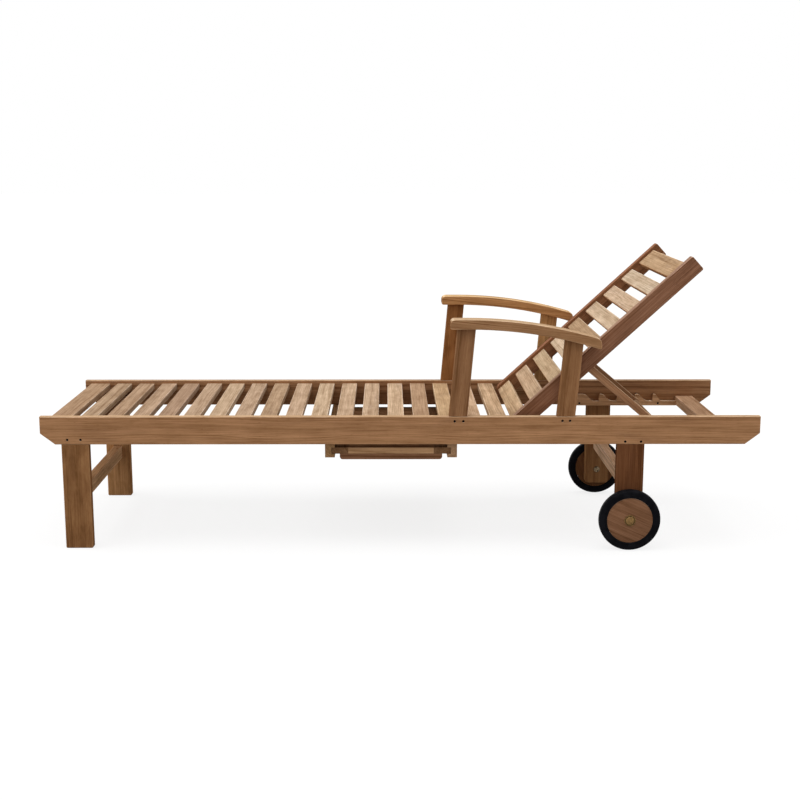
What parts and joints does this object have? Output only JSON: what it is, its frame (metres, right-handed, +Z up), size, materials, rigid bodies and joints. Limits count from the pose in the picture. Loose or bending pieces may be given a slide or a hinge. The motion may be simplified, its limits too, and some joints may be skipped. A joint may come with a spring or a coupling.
{
  "type": "reclining sun lounger",
  "caption": "Teak garden lounger with slatted bed, backrest propped in saw-tooth racks, arched armrests, a tray that slides under the seat, and a pair of wheels.",
  "frame": {"origin": "middle of the bounding box in X and Y, on the ground", "axes": "+X towards the head end, +Z up, -Y the left-hand side of someone lying on the lounger"},
  "size_m": [2, 0.7282, 0.8118],
  "materials": {
    "teak_frame": "planed and sanded teak, bare",
    "teak_slat": "planed and sanded teak, bare",
    "teak_backrest": "planed and sanded teak, bare",
    "teak_tray": "planed and sanded teak, bare",
    "teak_wheel": "turned teak, bare",
    "rubber_tyre": "black moulded rubber, satin",
    "brass_fitting": "dull brass"
  },
  "bodies": {
    "frame": {"side_rail_left": "teak_frame", "side_rail_right": "teak_frame", "front_leg_left": "teak_frame", "front_leg_right": "teak_frame", "rear_leg_left": "teak_frame", "rear_leg_right": "teak_frame", "front_stretcher": "teak_frame", "rear_stretcher": "teak_frame", "front_cross_rail": "teak_frame", "rear_cross_rail": "teak_frame", "seat_slat_01": "teak_slat", "seat_slat_02": "teak_slat", "seat_slat_03": "teak_slat", "seat_slat_04": "teak_slat", "seat_slat_05": "teak_slat", "seat_slat_06": "teak_slat", "seat_slat_07": "teak_slat", "seat_slat_08": "teak_slat", "seat_slat_09": "teak_slat", "seat_slat_10": "teak_slat", "seat_slat_11": "teak_slat", "seat_slat_12": "teak_slat", "seat_slat_13": "teak_slat", "seat_slat_14": "teak_slat", "seat_slat_15": "teak_slat", "seat_slat_16": "teak_slat", "seat_slat_17": "teak_slat", "seat_slat_18": "teak_slat", "rack_left": "teak_frame", "rack_right": "teak_frame", "arm_post_front_left": "teak_frame", "arm_post_rear_left": "teak_frame", "arm_post_front_right": "teak_frame", "arm_post_rear_right": "teak_frame", "armrest_left": "teak_frame", "armrest_right": "teak_frame", "tray_runner_foot": "teak_frame", "tray_runner_head": "teak_frame", "axle_bolt_left": "brass_fitting", "axle_bolt_right": "brass_fitting"},
    "backrest": {"back_rail_left": "teak_backrest", "back_rail_right": "teak_backrest", "back_slat_1": "teak_slat", "back_slat_2": "teak_slat", "back_slat_3": "teak_slat", "back_slat_4": "teak_slat", "back_slat_5": "teak_slat", "back_slat_6": "teak_slat", "back_slat_7": "teak_slat", "back_slat_8": "teak_slat", "back_slat_9": "teak_slat"},
    "prop": {"prop_arm_left": "teak_backrest", "prop_arm_right": "teak_backrest", "prop_bar": "teak_backrest"},
    "wheel_left": {"wheel_disc_left": "teak_wheel", "tyre_left": "rubber_tyre"},
    "wheel_right": {"wheel_disc_right": "teak_wheel", "tyre_right": "rubber_tyre"},
    "tray": {"tray_deck": "teak_tray", "tray_pull": "teak_tray"}
  },
  "joints": [
    {"name": "backrest_hinge", "type": "hinge", "parent": "frame", "child": "backrest", "pos_m": [0.335, 0, 0.352], "axis": [0, -1, 0], "range_deg": [-42.7, 18.43]},
    {"name": "prop_hinge", "type": "hinge", "parent": "backrest", "child": "prop", "pos_m": [0.52172, 0, 0.50797], "axis": [0, 1, 0], "range_deg": [-78.58, 33.96]},
    {"name": "wheel_left_spin", "type": "hinge", "parent": "frame", "child": "wheel_left", "pos_m": [0.642, -0.345, 0.086], "axis": [0, 1, 0], "continuous": true},
    {"name": "wheel_right_spin", "type": "hinge", "parent": "frame", "child": "wheel_right", "pos_m": [0.642, 0.345, 0.086], "axis": [0, 1, 0], "continuous": true},
    {"name": "tray_slide", "type": "slide", "parent": "frame", "child": "tray", "axis": [0, -1, 0], "range_m": [-0.3, 0.3]}
  ],
  "couplings": [
    {"joint": "prop_hinge", "follows": "backrest_hinge", "ratio": 1.8398}
  ]
}
